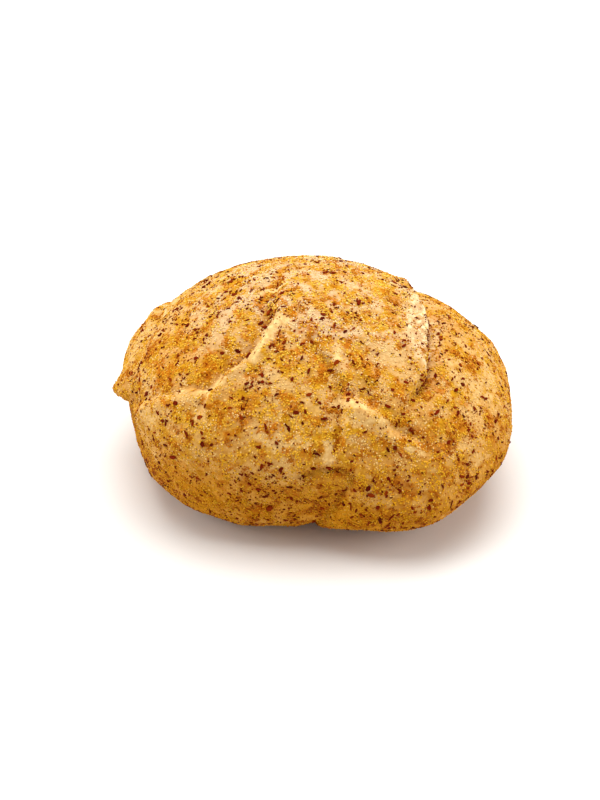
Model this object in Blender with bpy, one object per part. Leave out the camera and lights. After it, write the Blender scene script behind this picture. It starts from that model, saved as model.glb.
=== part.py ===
"""A hand-shaped bread roll, folded over itself before baking and rolled in maize meal and bran."""

import math
import random

import bmesh
import bpy
import numpy as np
from mathutils import Matrix, Vector, noise

# Overall size of the roll, in metres
ROLL_WIDTH = 0.099
ROLL_DEPTH = 0.081
ROLL_HEIGHT = 0.0565
WAIST_HEIGHT = 0.025
UNDERSIDE_REACH = 0.0282
# Exponents of the rounded form: 2 is an ellipse and more is boxier
PLAN_SQUARENESS = 2.35
CROWN_SQUARENESS = 1.75
UNDERSIDE_SQUARENESS = 2.7

# Swellings (+) and hollows (-) of the dough: bearing, elevation and spread in degrees, rise in metres.
# Bearing turns from +X towards +Y and elevation rises from the waist.
SWELLINGS = (
    (165, 35, 28, -0.0013),
    (187, 1, 5, 0.0032),
    (186, 6, 8, 0.0016),
    (-165, -8, 17, -0.0038),
    (-140, -8, 18, -0.0012),
    (-115, -15, 18, -0.0013),
    (-90, -18, 18, -0.0018),
    (-80, -32, 9, 0.0014),
    (-77, 22, 6, 0.0012),
    (-65, -18, 18, 0.0062),
    (-40, -10, 18, 0.0036),
    (-15, -5, 18, 0.0002),
    (38, 37, 20, -0.0100),
    (15, 25, 15, -0.0015),
    (75, 40, 28, -0.0007),
    (120, 45, 28, -0.0009),
    (150, 25, 18, -0.0007),
)
SWELLING_RADIUS = 0.050

# Gentle unevenness of the skin: wavelength and rise
SWELL_WAVES = ((0.022, 0.0011), (0.009, 0.0005))

# Section of a fold, in shares of its own step and hollow
HOLLOW_SHARPNESS = 1.5
LIP_PLACE = 2.0
LIP_BREADTH = 1.5
LIP_REACH = 3.0
FOLD_BREADTH = 4.0
FOLD_EDGE = 2.5
# Least share of its depth at which a fold still counts
FAINT_FOLD = 0.02
# How far a fold's line strays to each side, and over what length
STRAY = 0.0008
STRAY_LENGTH = 0.0070

# A direction that no vertex of the ball points along
LEANING = (0.31, 0.52, 0.80)
# Fineness of the curves, normals and mesh: angles in radians, lengths in metres
WAY_ANGLE = 0.02
FOLD_SAMPLE_SPACING = 0.0005
NORMAL_ANGLE = 0.01
POINTS_AT_ONCE = 20000
COARSE_SUBDIVISIONS = 5
FINE_BAND = 0.0030
FINE_EDGE = 0.0018
DEEP_FOLD = 0.0020
DEEP_BAND = 0.0016
DEEP_EDGE = 0.0012
CUT_TOLERANCE = 1e-5

# Bran flakes baked onto the skin: thin slabs, sunk halfway into it
FLAKE_SEED = 11
FLAKE_CORNERS = 6
FLAKE_PROUD = 0.00040
FLAKE_EMBEDDED = 0.00035
FLAKE_TAPER = 0.86
FLAKE_NORMAL_ANGLE = 0.02
FLAKE_CLEARANCE = 0.0056
# The flakes that stand out: bearing, elevation and heading in degrees, length and width in metres
CHIEF_FLAKES = (
    (-120, 50.5, -20, 0.0023, 0.0010),
    (-92.5, 47, 62, 0.0021, 0.0009),
    (-83.5, 47.5, 0, 0.0019, 0.0008),
    (-87, 27.5, 2, 0.0021, 0.0008),
    (-105, 23.5, -74, 0.0023, 0.0007),
    (-113, 26, -50, 0.0016, 0.0011),
    (153, 51, 10, 0.0024, 0.0010),
    (156.5, 50, -40, 0.0016, 0.0008),
    (-75.5, -6.5, -20, 0.0021, 0.0011),
    (-76, -3, 50, 0.0019, 0.0012),
    (-66, 30.5, -25, 0.0019, 0.0010),
    (-67.5, 13.5, 35, 0.0018, 0.0011),
    (-69.5, 13, -70, 0.0015, 0.0008),
    (-46.5, 51.5, 8, 0.0018, 0.0008),
    (-40, 28, 20, 0.0016, 0.0010),
    (-101, 17, -40, 0.0015, 0.0009),
    (-89.5, 13, -16, 0.0023, 0.0008),
    (-102.5, 8, -4, 0.0017, 0.0007),
    (-127.5, 13.5, -80, 0.0017, 0.0009),
    (-129.5, 65.5, 30, 0.0020, 0.0011),
    (-132.5, 70.5, -60, 0.0017, 0.0010),
    (-124.5, 64.5, 75, 0.0015, 0.0008),
    (-115, 39.5, 30, 0.0016, 0.0010),
    (-90.5, 6, 6, 0.0022, 0.0010),
    (-86, 6.5, -12, 0.0020, 0.0009),
    (-97, -5, -6, 0.0021, 0.0007),
)
# The others lie all over the roll, turned by the golden angle from one to the next, and each a little astray.
# Heights are sines of the elevation, and widths are shares of the length.
SPREAD_FLAKES = 54
SPREAD_LONGEST = 0.0023
SPREAD_SHORTEST = 0.0012
SPREAD_WIDTHS = (0.40, 0.64)
SPREAD_LOWEST = -0.55
SPREAD_HIGHEST = 0.98
STEEPEST = 0.995
SPREAD_ASTRAY = 0.5
BEARING_ASTRAY = 0.25
GOLDEN_ANGLE = math.pi * (3 - math.sqrt(5))
# How far each corner of a flake is pulled in or out, as a share of its reach
CORNER_PULLS = (0.78, 1.12)

# Baked crust under its meal
CRUST_COLOUR = (0.75, 0.48, 0.20, 1.0)
CRUST_ROUGHNESS = 0.75


def fold(way, depth, step, hollow, lip, side, fade):
    """One fold: its way over the skin, the section across it and the length over which it fades at each end."""
    return {
        "way": way,
        "depth": depth,
        "step": step,
        "hollow": hollow,
        "lip": lip,
        "side": side,
        "fade": fade,
    }


# The folds, each way as (bearing, elevation) in degrees. Side +1 has the rounded lip on the left of the way.
FOLDS = (
    fold(
        way=(
            (150, 77),
            (178, 80),
            (-150, 77),
            (-134, 72),
            (-125.5, 67.5),
            (-122.5, 62),
            (-121.5, 56),
            (-122.5, 51),
            (-124.5, 46.5),
            (-127.5, 43),
            (-127.5, 39),
            (-129, 35),
            (-134.5, 31.5),
            (-141, 26.5),
        ),
        depth=0.0026,
        step=0.0013,
        hollow=0.0052,
        lip=0.0009,
        side=1,
        fade=(0.020, 0.013),
    ),
    fold(
        way=((-128, 37), (-129.5, 34.5), (-134.5, 31.5), (-141, 26.5), (-147, 20.5), (-155, 11), (-168, 0)),
        depth=0.0010,
        step=0.0014,
        hollow=0.0034,
        lip=0.0004,
        side=1,
        fade=(0.010, 0.004),
    ),
    fold(
        way=(
            (68, 8),
            (56, 24),
            (42, 41.5),
            (23, 54),
            (6, 54.5),
            (-4.5, 52.5),
            (-20, 50),
            (-31, 47.5),
            (-39.5, 43),
            (-47, 37),
            (-54.5, 32),
            (-62, 25.5),
            (-63, 21),
        ),
        depth=0.0028,
        step=0.0013,
        hollow=0.0036,
        lip=0.0008,
        side=-1,
        fade=(0.012, 0.014),
    ),
    fold(
        way=((-69, 25), (-66.5, 22.5), (-63, 18.5), (-59.5, 14.5), (-58, 10.5), (-54, 4)),
        depth=0.0009,
        step=0.0012,
        hollow=0.0026,
        lip=0.0004,
        side=-1,
        fade=(0.004, 0.010),
    ),
    fold(
        way=(
            (-88, 64),
            (-90, 56),
            (-85, 51),
            (-81.5, 43.5),
            (-81, 37),
            (-82.5, 27),
            (-83.5, 18),
            (-86, 11),
            (-86, 5),
        ),
        depth=0.0011,
        step=0.0010,
        hollow=0.0030,
        lip=0.0004,
        side=1,
        fade=(0.006, 0.008),
    ),
    fold(
        way=((-97, 0), (-93.5, 3), (-88.5, 5.5), (-82.5, 5), (-80.5, 0), (-83.5, -12), (-89, -36), (-90, -60)),
        depth=0.0013,
        step=0.0012,
        hollow=0.0022,
        lip=0.0002,
        side=1,
        fade=(0.004, 0.002),
    ),
    fold(
        way=((-82, 38), (-74.5, 36), (-70, 32.5), (-66.5, 29), (-63, 24)),
        depth=0.0011,
        step=0.0015,
        hollow=0.0028,
        lip=0.0012,
        side=-1,
        fade=(0.004, 0.008),
    ),
    fold(
        way=((-70, 59), (-66.5, 51.5), (-63.5, 46), (-60.5, 37.5)),
        depth=0.0007,
        step=0.0012,
        hollow=0.0022,
        lip=0.0004,
        side=-1,
        fade=(0.005, 0.006),
    ),
    fold(
        way=((-128, 37), (-127.5, 33), (-128, 28.5), (-127.5, 24.5), (-129.5, 17)),
        depth=0.0007,
        step=0.0014,
        hollow=0.0028,
        lip=0.0003,
        side=1,
        fade=(0.004, 0.006),
    ),
    fold(
        way=((92, 50), (91, 43), (97, 32), (104, 16), (101, 0)),
        depth=0.0017,
        step=0.0013,
        hollow=0.0045,
        lip=0.0006,
        side=-1,
        fade=(0.010, 0.010),
    ),
    fold(
        way=((172, 36), (160, 26), (146, 20), (133, 10), (128, -4)),
        depth=0.0013,
        step=0.0012,
        hollow=0.0040,
        lip=0.0005,
        side=1,
        fade=(0.008, 0.008),
    ),
)


def directions_of(bearings, elevations):
    """Unit vectors of bearings and elevations given in degrees."""
    bearing = np.radians(bearings)
    elevation = np.radians(elevations)
    level = np.cos(elevation)
    return np.stack([level * np.cos(bearing), level * np.sin(bearing), np.sin(elevation)], axis=-1)


def dough_form(directions):
    """The dough before it is folded: a rounded loaf form with swellings, as points in metres."""
    x, y, z = directions.T
    level = np.hypot(x, y)
    turn = np.arctan2(y, x)
    plan = np.abs(np.cos(turn)) ** PLAN_SQUARENESS + np.abs(np.sin(turn)) ** PLAN_SQUARENESS
    plan = plan ** (-1 / PLAN_SQUARENESS)
    power = np.where(z < 0, UNDERSIDE_SQUARENESS, CROWN_SQUARENESS)
    reach = (np.abs(z) ** power + level**power) ** (-1 / power)
    swelling = np.ones(len(directions))
    for bearing, elevation, spread, rise in SWELLINGS:
        towards = directions @ directions_of(bearing, elevation)
        angle = np.degrees(np.arccos(np.clip(towards, -1, 1)))
        swelling += rise / SWELLING_RADIUS * np.exp(-((angle / spread) ** 2))
    reach = reach * swelling
    half_height = np.where(z < 0, UNDERSIDE_REACH, ROLL_HEIGHT - WAIST_HEIGHT)
    return np.stack(
        [
            ROLL_WIDTH / 2 * plan * x * reach,
            ROLL_DEPTH / 2 * plan * y * reach,
            WAIST_HEIGHT + half_height * z * reach,
        ],
        axis=-1,
    )


def unit(vectors):
    """The vectors at unit length."""
    return vectors / (np.linalg.norm(vectors, axis=-1, keepdims=True) + 1e-12)


def outward(form, directions, spacing):
    """Outward normals of a form, from its points a small angle away on two sides."""
    aside = unit(np.cross(directions, LEANING))
    across = np.cross(directions, aside)
    along_one = form(unit(directions + spacing * aside)) - form(unit(directions - spacing * aside))
    along_two = form(unit(directions + spacing * across)) - form(unit(directions - spacing * across))
    return unit(np.cross(along_one, along_two))


def smooth_way(points, spacing):
    """Points at an even spacing along a Catmull-Rom curve through the given ones."""
    padded = np.vstack([2 * points[0] - points[1], points, 2 * points[-1] - points[-2]])
    found = []
    for a, b, c, d in zip(padded, padded[1:], padded[2:], padded[3:]):
        count = max(2, int(np.linalg.norm(c - b) / spacing))
        for t in np.linspace(0, 1, count, endpoint=False):
            found.append(
                0.5
                * (
                    2 * b
                    + (c - a) * t
                    + (2 * a - 5 * b + 4 * c - d) * t**2
                    + (3 * b - a - 3 * c + d) * t**3
                )
            )
    return np.array(found)


def trace_folds():
    """For every fold, the points of its way with their forward and left vectors and distance along."""
    traced = []
    for each in FOLDS:
        bearings, elevations = np.array(each["way"], float).T
        aims = unit(smooth_way(directions_of(bearings, elevations), WAY_ANGLE))
        way = smooth_way(dough_form(aims), FOLD_SAMPLE_SPACING)
        forward = unit(np.gradient(way, axis=0))
        centred = way - (0, 0, WAIST_HEIGHT)
        aims = unit(centred / (ROLL_WIDTH / 2, ROLL_DEPTH / 2, ROLL_HEIGHT - WAIST_HEIGHT))
        left = unit(np.cross(outward(dough_form, aims, NORMAL_ANGLE), forward))
        steps = np.linalg.norm(np.diff(way, axis=0), axis=1)
        along = np.concatenate([[0.0], np.cumsum(steps)])
        traced.append((each, way, forward, left, along))
    return traced


def smooth_rise(values):
    """0 below 0, 1 above 1 and an even rise between."""
    held = np.clip(values, 0, 1)
    return held * held * (3 - 2 * held)


def wave(points, wavelength):
    """Smooth noise from about -1 to 1 at each point, of one wavelength."""
    return np.array([noise.noise(Vector(point / wavelength)) for point in points])


def fold_relief(points, traced):
    """How far the folds lift or sink the skin at points of the dough form, and how near their flanks are."""
    relief = np.zeros(len(points))
    nearest = np.ones(len(points))
    stray = STRAY * wave(points, STRAY_LENGTH)
    for each, way, forward, left, along in traced:
        step = each["step"]
        for start in range(0, len(points), POINTS_AT_ONCE):
            rows = slice(start, start + POINTS_AT_ONCE)
            part = points[rows]
            gaps = (part**2).sum(1)[:, None] + (way**2).sum(1)[None] - 2 * part @ way.T
            closest = gaps.argmin(1)
            offset = part - way[closest]
            side = each["side"] * (offset * left[closest]).sum(1) + stray[rows]
            ahead = along[closest] + (offset * forward[closest]).sum(1)
            fade = smooth_rise(ahead / each["fade"][0]) * smooth_rise((along[-1] - ahead) / each["fade"][1])
            low_side = np.exp(-(np.abs(side / each["hollow"]) ** HOLLOW_SHARPNESS))
            lip_side = np.exp(-((side / step) ** 2))
            sunk = np.where(side < 0, low_side, lip_side)
            rounded = np.exp(-(((side - LIP_PLACE * step) / (LIP_BREADTH * step)) ** 2))
            gap = np.sqrt(np.maximum(gaps[np.arange(len(part)), closest], 0))
            breadth = FOLD_BREADTH * max(each["hollow"], LIP_REACH * step)
            reach = fade * smooth_rise(FOLD_EDGE * (1 - gap / breadth))
            relief[rows] += reach * (each["lip"] * rounded - each["depth"] * sunk)
            flank = np.where(gap < FOLD_BREADTH * step, np.abs(side - step), gap)
            nearest[rows] = np.minimum(nearest[rows], np.where(fade > FAINT_FOLD, flank, 1.0))
    return relief, nearest


def skin(directions):
    """The finished skin of the roll in the given directions."""
    dough = dough_form(directions)
    rise, _ = fold_relief(dough, TRACED_FOLDS)
    for wavelength, height in SWELL_WAVES:
        rise += height * wave(dough, wavelength)
    return dough + outward(dough_form, directions, NORMAL_ANGLE) * rise[:, None]


TRACED_FOLDS = trace_folds()


def directions_in(mesh):
    """The directions of a ball's vertices."""
    return unit(np.array([vert.co for vert in mesh.verts]))


def fine_ball():
    """A unit ball with finer faces along the folds."""
    ball = bmesh.new()
    bmesh.ops.create_icosphere(ball, subdivisions=COARSE_SUBDIVISIONS, radius=1.0)
    deep_folds = [traced for traced in TRACED_FOLDS if traced[0]["depth"] > DEEP_FOLD]
    for folds, band, longest in ((TRACED_FOLDS, FINE_BAND, FINE_EDGE), (deep_folds, DEEP_BAND, DEEP_EDGE)):
        dough = dough_form(directions_in(ball))
        _, nearest = fold_relief(dough, folds)
        ball.verts.index_update()
        chosen = []
        for edge in ball.edges:
            a, b = (vert.index for vert in edge.verts)
            length = np.linalg.norm(dough[a] - dough[b])
            if min(nearest[a], nearest[b]) < band and length > longest:
                chosen.append(edge)
        bmesh.ops.subdivide_edges(ball, edges=chosen, cuts=1, use_grid_fill=True)
        bmesh.ops.triangulate(ball, faces=ball.faces[:])
    return ball


def mesh_object(name, mesh):
    """A new object that holds the given mesh."""
    data = bpy.data.meshes.new(name)
    mesh.to_mesh(data)
    mesh.free()
    made = bpy.data.objects.new(name, data)
    bpy.context.collection.objects.link(made)
    return made


def roll_body():
    """The folded dough, cut level where it lay on the baking sheet."""
    ball = fine_ball()
    for vert, place in zip(ball.verts, skin(directions_in(ball))):
        vert.co = place
    everything = ball.verts[:] + ball.edges[:] + ball.faces[:]
    bmesh.ops.bisect_plane(
        ball, geom=everything, dist=CUT_TOLERANCE, plane_co=(0, 0, 0), plane_no=(0, 0, 1), clear_inner=True
    )
    rim = [edge for edge in ball.edges if edge.is_boundary]
    for edge in rim:
        for vert in edge.verts:
            vert.co.z = 0.0
    bmesh.ops.holes_fill(ball, edges=rim)
    bmesh.ops.recalc_face_normals(ball, faces=ball.faces[:])
    return mesh_object("bun", ball)


def flake_places():
    """Bearing, elevation, heading, length and width of every flake."""
    draw = random.Random(FLAKE_SEED)
    places = list(CHIEF_FLAKES)
    for index in range(SPREAD_FLAKES):
        rise = SPREAD_LOWEST + (SPREAD_HIGHEST - SPREAD_LOWEST) * (index + 0.5) / SPREAD_FLAKES
        rise += draw.uniform(-SPREAD_ASTRAY, SPREAD_ASTRAY) / math.sqrt(SPREAD_FLAKES)
        bearing = math.degrees(index * GOLDEN_ANGLE + draw.uniform(-BEARING_ASTRAY, BEARING_ASTRAY))
        elevation = math.degrees(math.asin(max(-STEEPEST, min(STEEPEST, rise))))
        length = SPREAD_SHORTEST + (SPREAD_LONGEST - SPREAD_SHORTEST) * draw.random() ** 2
        width = length * draw.uniform(*SPREAD_WIDTHS)
        places.append((bearing, elevation, draw.uniform(-90, 90), length, width))
    return places


def flake(place, up, heading, length, width, draw):
    """One broken bran flake with an uneven outline, headed the given angle round from the level direction."""
    slab = bmesh.new()
    bmesh.ops.create_circle(slab, cap_ends=True, segments=FLAKE_CORNERS, radius=0.5)
    for vert in slab.verts:
        pull = draw.uniform(*CORNER_PULLS)
        vert.co.x *= pull * length
        vert.co.y *= pull * width
        vert.co.z = -FLAKE_EMBEDDED
    grown = bmesh.ops.extrude_face_region(slab, geom=slab.faces[:])
    for item in grown["geom"]:
        if isinstance(item, bmesh.types.BMVert):
            item.co.z = FLAKE_PROUD
            item.co.x *= FLAKE_TAPER
            item.co.y *= FLAKE_TAPER
    bmesh.ops.recalc_face_normals(slab, faces=slab.faces[:])
    level = Vector((0, 0, 1)).cross(up).normalized()
    upright = Matrix((level, up.cross(level), up)).transposed().to_4x4()
    turned = upright @ Matrix.Rotation(math.radians(heading), 4, "Z")
    bmesh.ops.transform(slab, matrix=Matrix.Translation(place) @ turned, verts=slab.verts)
    return slab


def add_flakes(body):
    """Fuses the flakes to the body. Those that would come near the baking sheet are left out."""
    draw = random.Random(FLAKE_SEED + 1)
    group = bpy.data.collections.new("bran_flakes")
    places = flake_places()
    aims = directions_of([each[0] for each in places], [each[1] for each in places])
    spots = skin(aims)
    ups = outward(skin, aims, FLAKE_NORMAL_ANGLE)
    for index, (_, _, heading, length, width) in enumerate(places):
        if spots[index][2] < FLAKE_CLEARANCE:
            continue
        slab = flake(Vector(spots[index]), Vector(ups[index]), heading, length, width, draw)
        piece = mesh_object(f"bran_flake_{index}", slab)
        bpy.context.collection.objects.unlink(piece)
        group.objects.link(piece)
    union = body.modifiers.new("bran_flakes", "BOOLEAN")
    union.operation = "UNION"
    union.operand_type = "COLLECTION"
    union.collection = group
    union.solver = "EXACT"
    bpy.context.view_layer.objects.active = body
    bpy.ops.object.modifier_apply(modifier=union.name)
    for piece in list(group.objects):
        bpy.data.objects.remove(piece, do_unlink=True)
    bpy.data.collections.remove(group)


def centre_on_floor(body):
    """Moves the mesh so that the roll stands on the origin."""
    places = np.array([vert.co for vert in body.data.vertices])
    low = places.min(0)
    high = places.max(0)
    middle = (low + high) / 2
    for vert in body.data.vertices:
        vert.co.x -= middle[0]
        vert.co.y -= middle[1]
        vert.co.z -= low[2]


def crust_material():
    """Pale baked crust."""
    crust = bpy.data.materials.new("baked_crust")
    crust.use_nodes = True
    shader = crust.node_tree.nodes["Principled BSDF"]
    shader.inputs["Base Color"].default_value = CRUST_COLOUR
    shader.inputs["Roughness"].default_value = CRUST_ROUGHNESS
    return crust


for old in list(bpy.data.objects):
    bpy.data.objects.remove(old, do_unlink=True)
bun = roll_body()
add_flakes(bun)
centre_on_floor(bun)
bun.data.polygons.foreach_set("use_smooth", [True] * len(bun.data.polygons))
bun.data.materials.clear()
bun.data.materials.append(crust_material())
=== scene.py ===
import math
import random

import bmesh
import bpy
import numpy as np
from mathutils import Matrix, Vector, noise


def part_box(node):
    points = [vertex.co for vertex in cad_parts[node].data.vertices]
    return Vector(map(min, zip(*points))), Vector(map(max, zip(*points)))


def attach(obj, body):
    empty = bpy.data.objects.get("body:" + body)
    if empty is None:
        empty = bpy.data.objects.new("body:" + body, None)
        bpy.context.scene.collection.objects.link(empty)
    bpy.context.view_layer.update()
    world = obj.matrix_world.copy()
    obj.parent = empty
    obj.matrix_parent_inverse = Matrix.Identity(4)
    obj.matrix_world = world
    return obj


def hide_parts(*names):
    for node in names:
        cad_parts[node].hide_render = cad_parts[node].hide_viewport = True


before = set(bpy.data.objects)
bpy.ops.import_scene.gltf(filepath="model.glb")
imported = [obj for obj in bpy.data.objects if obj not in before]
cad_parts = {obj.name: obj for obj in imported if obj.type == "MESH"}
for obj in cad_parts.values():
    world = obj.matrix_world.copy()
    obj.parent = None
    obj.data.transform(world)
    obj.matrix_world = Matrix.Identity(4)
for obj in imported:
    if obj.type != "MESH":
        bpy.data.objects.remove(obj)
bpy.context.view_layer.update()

# The dough. A ball of wheat and maize dough, patted out, folded over itself and proved, so that it keeps
# deep folds, each with a sunken side and a rounded lip. It baked on a flat sheet, which left it level below.
ROLL_WIDTH = 0.099
ROLL_DEPTH = 0.081
ROLL_HEIGHT = 0.0565
WAIST_HEIGHT = 0.025
UNDERSIDE_REACH = 0.0282
# Exponents of the rounded form: 2 is an ellipse and more is boxier
PLAN_SQUARENESS = 2.35
CROWN_SQUARENESS = 1.75
UNDERSIDE_SQUARENESS = 2.7
# Swellings (+) and hollows (-): bearing, elevation and spread in degrees, rise in metres
SWELLINGS = (
    (165, 35, 28, -0.0013),
    (187, 1, 5, 0.0032),
    (186, 6, 8, 0.0016),
    (-165, -8, 17, -0.0038),
    (-140, -8, 18, -0.0012),
    (-115, -15, 18, -0.0013),
    (-90, -18, 18, -0.0018),
    (-80, -32, 9, 0.0014),
    (-77, 22, 6, 0.0012),
    (-65, -18, 18, 0.0062),
    (-40, -10, 18, 0.0036),
    (-15, -5, 18, 0.0002),
    (38, 37, 20, -0.0100),
    (15, 25, 15, -0.0015),
    (75, 40, 28, -0.0007),
    (120, 45, 28, -0.0009),
    (150, 25, 18, -0.0007),
)
SWELLING_RADIUS = 0.050
# Unevenness of the skin: wavelength and rise. The two finest are only in the crust shown here.
SKIN_WAVES = ((0.022, 0.0011), (0.009, 0.0005), (0.0035, 0.00022), (0.0016, 0.00010))
FOLD_SAMPLE_SPACING = 0.0005
# How far a fold's line strays to each side and over what length; the finer is only in the crust shown here
STRAYS = ((0.0070, 0.0008), (0.0024, 0.0003))
# Section of a fold, in shares of its own step and hollow
HOLLOW_SHARPNESS = 1.5
LIP_PLACE = 2.0
LIP_BREADTH = 1.5
LIP_REACH = 3.0
FOLD_BREADTH = 4.0
FOLD_EDGE = 2.5
# Least share of its depth at which a fold still counts, and a distance that is past every fold
FAINT_FOLD = 0.02
FAR_AWAY = 0.1
# The painted shade line at the bottom of a fold: its breadth as a share of the hollow, how far it goes past
# the fold's own line, and how far away it ends
SHADE_BREADTH = 0.24
SHADE_PAST_LINE = 0.0004
SHADE_REACH = 0.012
# The lip that tore: how far its middle lies from the fold's line, and its breadth
TORN_MIDDLE = 0.0025
TORN_BREADTH = 0.0045
# A direction that no vertex of the ball points along
LEANING = (0.31, 0.52, 0.80)
# Fineness of the curves and normals, in radians, and how many points are measured at once
WAY_ANGLE = 0.02
NORMAL_ANGLE = 0.01
POINTS_AT_ONCE = 20000


def fold(way, depth, step, hollow, lip, side, fade):
    """One fold: its way over the skin, its section, and the length over which it fades at each end."""
    return {
        "way": way,
        "depth": depth,
        "step": step,
        "hollow": hollow,
        "lip": lip,
        "side": side,
        "fade": fade,
    }


LEFT_FOLD = fold(
    way=(
        (150, 77),
        (178, 80),
        (-150, 77),
        (-134, 72),
        (-125.5, 67.5),
        (-122.5, 62),
        (-121.5, 56),
        (-122.5, 51),
        (-124.5, 46.5),
        (-127.5, 43),
        (-127.5, 39),
        (-129, 35),
        (-134.5, 31.5),
        (-141, 26.5),
    ),
    depth=0.0026,
    step=0.0013,
    hollow=0.0052,
    lip=0.0009,
    side=1,
    fade=(0.020, 0.013),
)
RIGHT_FOLD = fold(
    way=(
        (68, 8),
        (56, 24),
        (42, 41.5),
        (23, 54),
        (6, 54.5),
        (-4.5, 52.5),
        (-20, 50),
        (-31, 47.5),
        (-39.5, 43),
        (-47, 37),
        (-54.5, 32),
        (-62, 25.5),
        (-63, 21),
    ),
    depth=0.0028,
    step=0.0013,
    hollow=0.0036,
    lip=0.0008,
    side=-1,
    fade=(0.012, 0.014),
)
LOWER_FOLDS = (
    fold(
        way=((-128, 37), (-129.5, 34.5), (-134.5, 31.5), (-141, 26.5), (-147, 20.5), (-155, 11), (-168, 0)),
        depth=0.0010,
        step=0.0014,
        hollow=0.0034,
        lip=0.0004,
        side=1,
        fade=(0.010, 0.004),
    ),
    fold(
        way=((-69, 25), (-66.5, 22.5), (-63, 18.5), (-59.5, 14.5), (-58, 10.5), (-54, 4)),
        depth=0.0009,
        step=0.0012,
        hollow=0.0026,
        lip=0.0004,
        side=-1,
        fade=(0.004, 0.010),
    ),
    fold(
        way=(
            (-88, 64),
            (-90, 56),
            (-85, 51),
            (-81.5, 43.5),
            (-81, 37),
            (-82.5, 27),
            (-83.5, 18),
            (-86, 11),
            (-86, 5),
        ),
        depth=0.0011,
        step=0.0010,
        hollow=0.0030,
        lip=0.0004,
        side=1,
        fade=(0.006, 0.008),
    ),
    fold(
        way=(
            (-97, 0),
            (-93.5, 3),
            (-88.5, 5.5),
            (-82.5, 5),
            (-80.5, 0),
            (-83.5, -12),
            (-89, -36),
            (-90, -60),
        ),
        depth=0.0013,
        step=0.0012,
        hollow=0.0022,
        lip=0.0002,
        side=1,
        fade=(0.004, 0.002),
    ),
    fold(
        way=((-82, 38), (-74.5, 36), (-70, 32.5), (-66.5, 29), (-63, 24)),
        depth=0.0011,
        step=0.0015,
        hollow=0.0028,
        lip=0.0012,
        side=-1,
        fade=(0.004, 0.008),
    ),
    fold(
        way=((-70, 59), (-66.5, 51.5), (-63.5, 46), (-60.5, 37.5)),
        depth=0.0007,
        step=0.0012,
        hollow=0.0022,
        lip=0.0004,
        side=-1,
        fade=(0.005, 0.006),
    ),
    fold(
        way=((-128, 37), (-127.5, 33), (-128, 28.5), (-127.5, 24.5), (-129.5, 17)),
        depth=0.0007,
        step=0.0014,
        hollow=0.0028,
        lip=0.0003,
        side=1,
        fade=(0.004, 0.006),
    ),
)
BACK_FOLDS = (
    fold(
        way=((92, 50), (91, 43), (97, 32), (104, 16), (101, 0)),
        depth=0.0017,
        step=0.0013,
        hollow=0.0045,
        lip=0.0006,
        side=-1,
        fade=(0.010, 0.010),
    ),
    fold(
        way=((172, 36), (160, 26), (146, 20), (133, 10), (128, -4)),
        depth=0.0013,
        step=0.0012,
        hollow=0.0040,
        lip=0.0005,
        side=1,
        fade=(0.008, 0.008),
    ),
)


def directions_of(bearings, elevations):
    """Unit vectors of bearings and elevations given in degrees."""
    bearing = np.radians(bearings)
    elevation = np.radians(elevations)
    level = np.cos(elevation)
    return np.stack([level * np.cos(bearing), level * np.sin(bearing), np.sin(elevation)], axis=-1)


def dough_form(directions):
    """The dough before it is folded: a rounded loaf form with swellings, as points in metres."""
    x, y, z = directions.T
    level = np.hypot(x, y)
    turn = np.arctan2(y, x)
    plan = np.abs(np.cos(turn)) ** PLAN_SQUARENESS + np.abs(np.sin(turn)) ** PLAN_SQUARENESS
    plan = plan ** (-1 / PLAN_SQUARENESS)
    power = np.where(z < 0, UNDERSIDE_SQUARENESS, CROWN_SQUARENESS)
    reach = (np.abs(z) ** power + level**power) ** (-1 / power)
    swelling = np.ones(len(directions))
    for bearing, elevation, spread, rise in SWELLINGS:
        towards = directions @ directions_of(bearing, elevation)
        angle = np.degrees(np.arccos(np.clip(towards, -1, 1)))
        swelling += rise / SWELLING_RADIUS * np.exp(-((angle / spread) ** 2))
    reach = reach * swelling
    half_height = np.where(z < 0, UNDERSIDE_REACH, ROLL_HEIGHT - WAIST_HEIGHT)
    return np.stack(
        [
            ROLL_WIDTH / 2 * plan * x * reach,
            ROLL_DEPTH / 2 * plan * y * reach,
            WAIST_HEIGHT + half_height * z * reach,
        ],
        axis=-1,
    )


def unit(vectors):
    """The vectors at unit length."""
    return vectors / (np.linalg.norm(vectors, axis=-1, keepdims=True) + 1e-12)


def outward(form, directions, spacing):
    """Outward normals of a form, from its points a small angle away on two sides."""
    aside = unit(np.cross(directions, LEANING))
    across = np.cross(directions, aside)
    along_one = form(unit(directions + spacing * aside)) - form(unit(directions - spacing * aside))
    along_two = form(unit(directions + spacing * across)) - form(unit(directions - spacing * across))
    return unit(np.cross(along_one, along_two))


def smooth_way(points, spacing):
    """Points at an even spacing along a Catmull-Rom curve through the given ones."""
    padded = np.vstack([2 * points[0] - points[1], points, 2 * points[-1] - points[-2]])
    found = []
    for a, b, c, d in zip(padded, padded[1:], padded[2:], padded[3:]):
        count = max(2, int(np.linalg.norm(c - b) / spacing))
        for t in np.linspace(0, 1, count, endpoint=False):
            found.append(
                0.5
                * (
                    2 * b
                    + (c - a) * t
                    + (2 * a - 5 * b + 4 * c - d) * t**2
                    + (3 * b - a - 3 * c + d) * t**3
                )
            )
    return np.array(found)


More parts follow.
